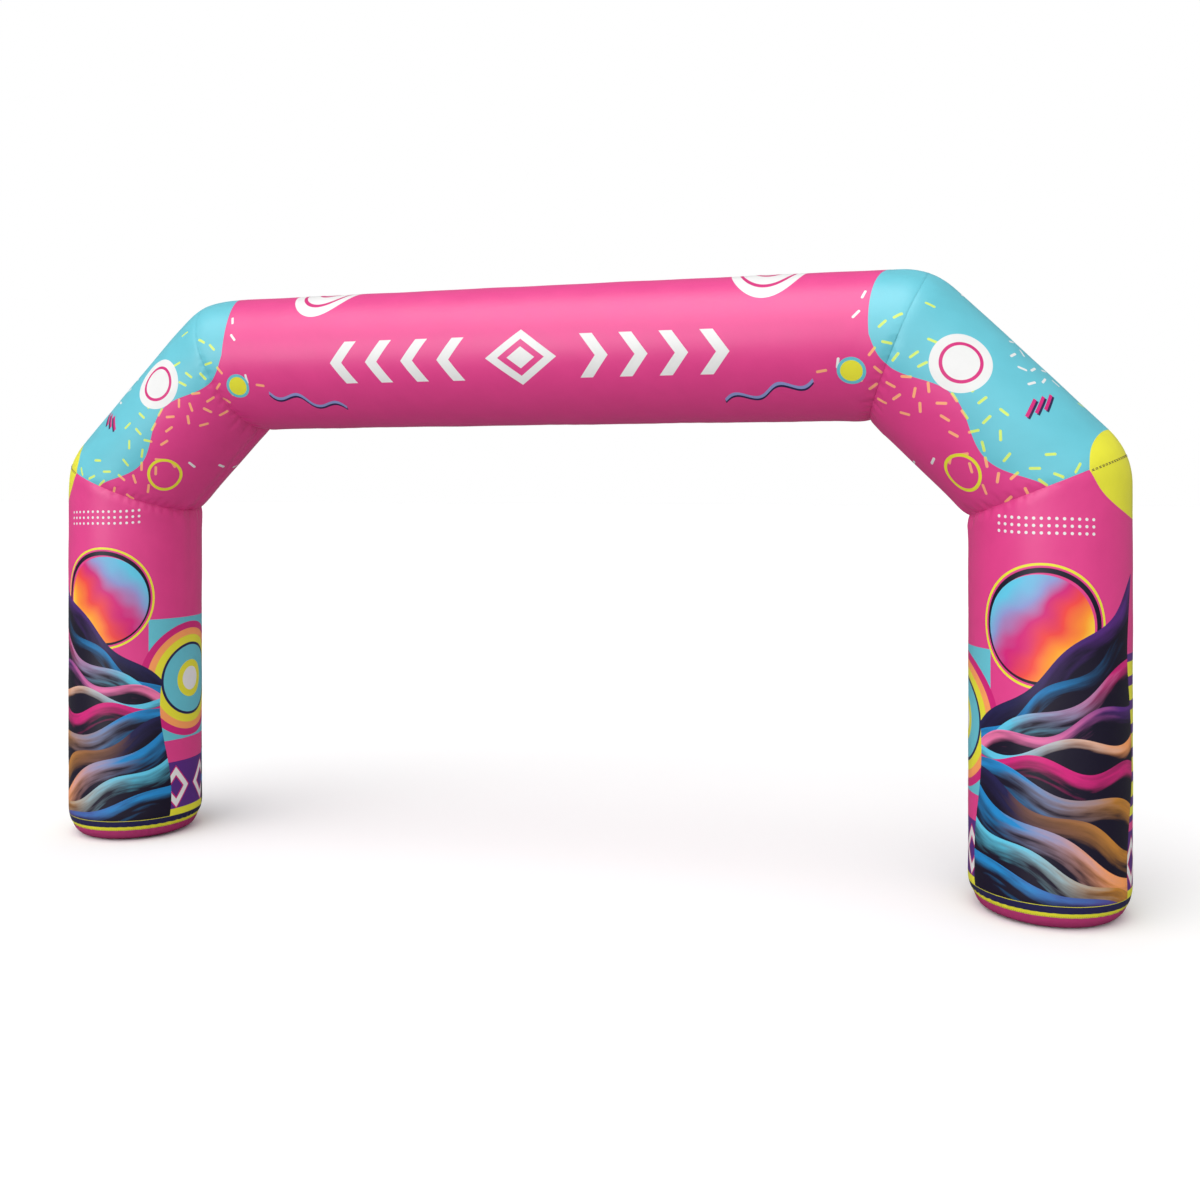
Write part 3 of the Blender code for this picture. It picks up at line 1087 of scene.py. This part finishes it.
# %% A leg's panel
def leg_panel(name, side, seed):
    """Grid, print map and cloth map of a leg: a mitred tube, and the foot's curve below it."""
    corner, outward = mitre_corner(LEG_X, ELBOW_Z, side), side * X_AXIS
    length = thread_length(ELBOW_Z - BASE_RISE, around_line, 1)
    from_seam = ring_distances(length, False)
    around = around_line * np.ones_like(from_seam)
    points, out = mitred_cloth(corner, -Z_AXIS, outward, from_seam, around)
    settle = np.clip((length - from_seam) / CALM_LENGTH, 0.0, 1.0)
    lift = (loose_relief(from_seam, around, seed) + slack(from_seam, around, seed)) * settle
    angles = np.linspace(0.0, CAP_ANGLE, FOOT_RINGS + 1)[1:, None]
    foot_around = around_line * np.ones_like(angles)
    foot = foot_cloth(side, angles, foot_around, seed + 3.0)
    foot_from_seam = PROFILE_SCALE * (CAP_ANGLE - angles) * np.ones_like(foot_around)
    loose = np.concatenate([points + lift[..., None] * out, foot])
    from_either = np.concatenate([np.minimum(from_seam, FOOT_CLOTH + length - from_seam),
                                  foot_from_seam])
    grid = blown_up(name, loose, from_either, np.concatenate([around, foot_around]))
    grid[:len(points)] += (sewn_relief(from_seam, around, 1) * settle)[..., None] * out
    seam_normal = -math.cos(MITRE) * Z_AXIS + math.sin(MITRE) * outward
    grid = clear_of_seam(grid, corner, seam_normal, from_either)
    grid[-1, :, 2] += PANEL_GAP / 2

    easing = print_easing(from_seam, length)
    slide, rise = print_slide(easing, around), side_offset(around, easing)
    upper_print = flat_place(points, corner, -Z_AXIS, outward, slide, rise)
    foot_print = np.stack([side * (LEG_X + side_offset(foot_around, 0.0)), foot[..., 2]], -1)
    upper_threads = np.stack([from_seam, RADIUS * around], -1)
    foot_threads = np.stack([length + PROFILE_SCALE * angles, RADIUS * foot_around], -1)
    return (grid, np.concatenate([upper_print, foot_print]),
            np.concatenate([upper_threads, foot_threads]))


def cap_panel(name, side, seed):
    """Grid of a base cap, from its seam to the rim of the flat that it stands on."""
    angles = np.linspace(CAP_ANGLE, math.pi / 2, CAP_RINGS)[:, None]
    around = around_line * np.ones_like(angles)
    cap = foot_cloth(side, angles, around, seed + 3.0)
    cap = blown_up(name, cap, PROFILE_SCALE * (angles - CAP_ANGLE) * np.ones_like(around), around)
    cap[..., 2] = np.maximum(cap[..., 2], 0.0)
    cap[0, :, 2] -= PANEL_GAP / 2
    return cap


# %% Make the legs and their base caps
leg_grids = {}
for word, side in SIDES:
    seed = SEAM_SEEDS["lower", side]
    leg_maps = leg_panel(f"leg_panel_{word}", side, seed)
    leg_grids[side] = leg_maps[0]
    leg = closed_panel(f"leg_panel_{word}", *leg_maps)
    finish_piece(leg, leg_cloth, f"leg_{word}")
    cap = cap_panel(f"base_cap_piece_{word}", side, seed)
    cap_piece = closed_panel(f"base_cap_piece_{word}", cap, cap[..., :2], cap[..., :2])
    finish_piece(cap_piece, cap_cloth, f"base_cap_{word}")

# %% [markdown]
# ## Stitches
# Each seam is closed with rows of lockstitch. A stitch is a short low lozenge of thread that lies
# along the seam, half sunk in the cloth. Two thousand are needed, so one small solid is copied
# along the seams as arrays, and all stitches of one kind on a seam are one mesh.

# %% Lines to sew along
def ring_on(grid, row):
    """A closed line round a panel, at a row that may lie between two rings, and its outward."""
    ring, part = int(row), row - int(row)
    line = grid[ring] + part * (grid[ring + 1] - grid[ring])
    out = unit(np.cross(np.gradient(line, axis=0), grid[ring + 1] - grid[ring]))
    facing = np.sign(np.sum(out * (line - line.mean(0))))
    return line, facing * out


def stretch_of(ring, turns):
    """The stretches of a ring between pairs of angles from the outer line."""
    line, out = ring
    for start, finish in turns:
        kept = (around_line >= start) & (around_line <= finish)
        yield line[kept], out[kept]


# %% Place stitches along lines
STITCH_SIDES = 5
STITCH_ENDS, STITCH_GIRTH = np.array((-0.5, -0.32, 0.32, 0.5)), np.array((0.35, 1.0, 1.0, 0.35))
STITCH_LIFT = 0.15          # how far a stitch's middle lies above the cloth, in thicknesses


def spaced(line, out, pitch):
    """Middles, directions and outward directions at equal steps along a line."""
    steps = np.linalg.norm(np.diff(line, axis=0), axis=1)
    travelled = np.concatenate([[0.0], np.cumsum(steps)])
    count = int(round(travelled[-1] / pitch))
    stops = (np.arange(count) + 0.5) * travelled[-1] / count

    def at(distances, table):
        return np.stack([np.interp(distances, travelled, column) for column in table.T], -1)

    ahead, behind = at(stops + pitch * 0.2, line), at(stops - pitch * 0.2, line)
    return at(stops, line), unit(ahead - behind), unit(at(stops, out))


def stitches(name, lines, size, material):
    """One mesh with all the stitches along some lines.

    Each stitch is a row of small rings round its direction, narrow at both ends, and lifted a
    little, so that it lies half in the cloth. size is its length, its thickness and the pitch.
    """
    length, thickness, pitch = size
    middle, along, up = (np.concatenate(parts) for parts in zip(*(spaced(*line, pitch) for line in lines)))
    turn = np.arange(STITCH_SIDES) * 2 * math.pi / STITCH_SIDES
    ring = np.cos(turn)[:, None, None] * up + np.sin(turn)[:, None, None] * np.cross(along, up)
    rings = (middle + STITCH_LIFT * thickness * up + STITCH_ENDS[:, None, None, None] * length * along
             + STITCH_GIRTH[:, None, None, None] * ring * thickness / 2)
    points = np.moveaxis(rings, 2, 0).reshape(-1, 3)

    per_stitch = len(STITCH_ENDS) * STITCH_SIDES
    k = np.arange(STITCH_SIDES)
    after = (k + 1) % STITCH_SIDES
    hoop = np.stack([k, after, after + STITCH_SIDES, k + STITCH_SIDES], -1)
    hoops = np.concatenate([hoop + i * STITCH_SIDES for i in range(len(STITCH_ENDS) - 1)])
    starts = np.arange(len(middle)) * per_stitch
    faces = []
    for pattern in (hoops, k[None, ::-1], k[None] + per_stitch - STITCH_SIDES):
        faces += (starts[:, None, None] + pattern).reshape(-1, pattern.shape[1]).tolist()
    threads = mesh_object(name, points.tolist(), faces)
    threads.data.shade_smooth()
    threads.data.materials.append(material)
    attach(threads, "root")
    print(f"{name}: {len(middle)} stitches")


# %% Thread
def thread_finish(name, colour):
    """Spun polyester thread: twisted, a little shiny, uneven in tone."""
    bench = Bench(name)
    place = bench.node("TexCoord", out="Object")
    twist = bench.node("TexNoise", None, {"Vector": place, "Scale": 900.0, "Detail": 2.0})
    tone = bench.vector("SCALE", bench.plain(colour), Scale=twist * 0.5 + 0.75)
    bump = bench.node("Bump", None, {"Strength": 0.5, "Distance": 0.0004, "Height": twist})
    shader = bench.node("BsdfPrincipled", None, {"Base Color": tone, "Roughness": 0.5, "Normal": bump})
    return bench.finished(shader)


plum_thread = thread_finish("plum_thread", srgb(66, 26, 48))
pink_thread = thread_finish("pink_thread", PINK)
teal_thread = thread_finish("teal_thread", TEAL)


# %% Sew the seams
ROWS = 0.004, 0.010         # distances of the two rows of stitches from a mitre seam
UPPER_TURN = 1.90           # angle from the outer line where the upper seam goes from teal to pink
LOWER_TURN = 1.10           # ... and where the lower seam goes from yellow to pink
FINE = 0.0070, 0.0013, 0.0105      # a stitch's length and thickness, and the pitch
COARSE = 0.0155, 0.0032, 0.0210
CAP_ROW = 2.4               # the cap seam's stitches lie on this row of a leg, counted from its end

for word, side in SIDES:
    for name, grid, turn, outer_thread, outer_size, slot in (
            ("upper", beam_maps[0][::-side], UPPER_TURN, teal_thread, FINE, "beam_cloth"),
            ("lower", leg_grids[side], LOWER_TURN, plum_thread, COARSE, "leg_cloth")):
        rings = [ring_on(grid, np.interp(row, near_steps, np.arange(len(near_steps)))) for row in ROWS]
        outer = [line for ring in rings for line in stretch_of(ring, [(-turn, turn)])]
        inner = [line for ring in rings for line in stretch_of(ring, [(-math.pi, -turn), (turn, math.pi)])]
        stitches(f"{name}_stitches_outer_{word}", outer, outer_size, outer_thread)
        stitches(f"{name}_stitches_inner_{word}", inner, FINE, pink_thread)
    cap_ring = ring_on(leg_grids[side], len(leg_grids[side]) - CAP_ROW)
    stitches(f"cap_stitches_{word}", [cap_ring], FINE, plum_thread)

# %% [markdown]
# ## The studio
# A plain pale floor runs into a white backdrop, so no horizon shows. One broad soft light comes
# from above on the front left and shapes the tubes. Light from all round fills the rest, and the
# floor throws a dimmer light back up, so undersides stay darker.

# %% Floor
FLOOR_SIZE = 120.0          # from the arch to each edge
FLOOR_BOUNCE, FLOOR_SHINE, FLOOR_SEEN = 0.46, 0.12, 0.93
floor_corners = [(-FLOOR_SIZE, -FLOOR_SIZE, 0.0), (FLOOR_SIZE, -FLOOR_SIZE, 0.0),
                 (FLOOR_SIZE, FLOOR_SIZE, 0.0), (-FLOOR_SIZE, FLOOR_SIZE, 0.0)]
floor = mesh_object("floor", floor_corners, [(0, 1, 2, 3)])


def grey(value):
    return (value, value, value, 1.0)


floor_bench = Bench("floor")
bounce, shine, seen = (floor_bench.node("BsdfDiffuse", None, {"Color": grey(value)})
                       for value in (FLOOR_BOUNCE, FLOOR_SHINE, FLOOR_SEEN))
glossy_ray, camera_ray = (floor_bench.node("LightPath", out=name)
                          for name in ("Is Glossy Ray", "Is Camera Ray"))
floor_shader = floor_bench.node("MixShader", None, {0: glossy_ray, 1: bounce, 2: shine})
floor_shader = floor_bench.node("MixShader", None, {0: camera_ray, 1: floor_shader, 2: seen})
floor.data.materials.append(floor_bench.finished(floor_shader))

# %% World
FILL_LIGHT, FILL_SHINE, BACKDROP = 0.73, 0.22, 1.0
world = bpy.data.worlds.new("studio")
bpy.context.scene.world = world
world.use_nodes = True
world_nodes, world_links = world.node_tree.nodes, world.node_tree.links
ray = world_nodes.new("ShaderNodeLightPath")
light = world_nodes["Background"]
light.inputs["Color"].default_value = grey(1.0)
light.inputs["Strength"].default_value = FILL_LIGHT
for ray_name, strength in (("Is Glossy Ray", FILL_SHINE), ("Is Camera Ray", BACKDROP)):
    special = world_nodes.new("ShaderNodeBackground")
    special.inputs["Color"].default_value = grey(1.0)
    special.inputs["Strength"].default_value = strength
    blend = world_nodes.new("ShaderNodeMixShader")
    world_links.new(ray.outputs[ray_name], blend.inputs[0])
    world_links.new(light.outputs[0], blend.inputs[1])
    world_links.new(special.outputs[0], blend.inputs[2])
    light = blend
world_links.new(light.outputs[0], world_nodes["World Output"].inputs["Surface"])

# %% [markdown]
# The lamps are far away, like small suns, but spread wide, so their shadows are soft. Two of them
# light the cloth. The other three only add shine: they stand for the bright panels of a studio
# that a satin cloth mirrors as broad pale bands along its tubes.

# %% Lamps
LAMPS = (    # name, turn from the front, height, spread, strength, and whether it only adds shine
    ("key", -22, 52, 75, 1.60, False),
    ("front", -15, 15, 70, 0.74, False),
    ("key_shine", -20, 68, 50, 2.00, True),
    ("front_shine", -24, 12, 28, 0.95, True),
    ("room_shine", 12, 14, 90, 1.10, True))


def lamp_direction(turn, height):
    """From the arch towards a lamp; turn is from the front, to the right, both in degrees."""
    turn, height = math.radians(turn), math.radians(height)
    level = math.cos(height)
    return Vector((math.sin(turn) * level, -math.cos(turn) * level, math.sin(height)))


for name, turn, height, spread, strength, only_shine in LAMPS:
    lamp_data = bpy.data.lights.new(name, "SUN")
    lamp_data.energy = strength
    lamp_data.angle = math.radians(spread)
    lamp = in_scene(name, lamp_data)
    lamp.rotation_euler = lamp_direction(turn, height).to_track_quat("Z", "Y").to_euler()
    lamp.visible_diffuse = not only_shine
bpy.context.scene.view_settings.view_transform = "Standard"
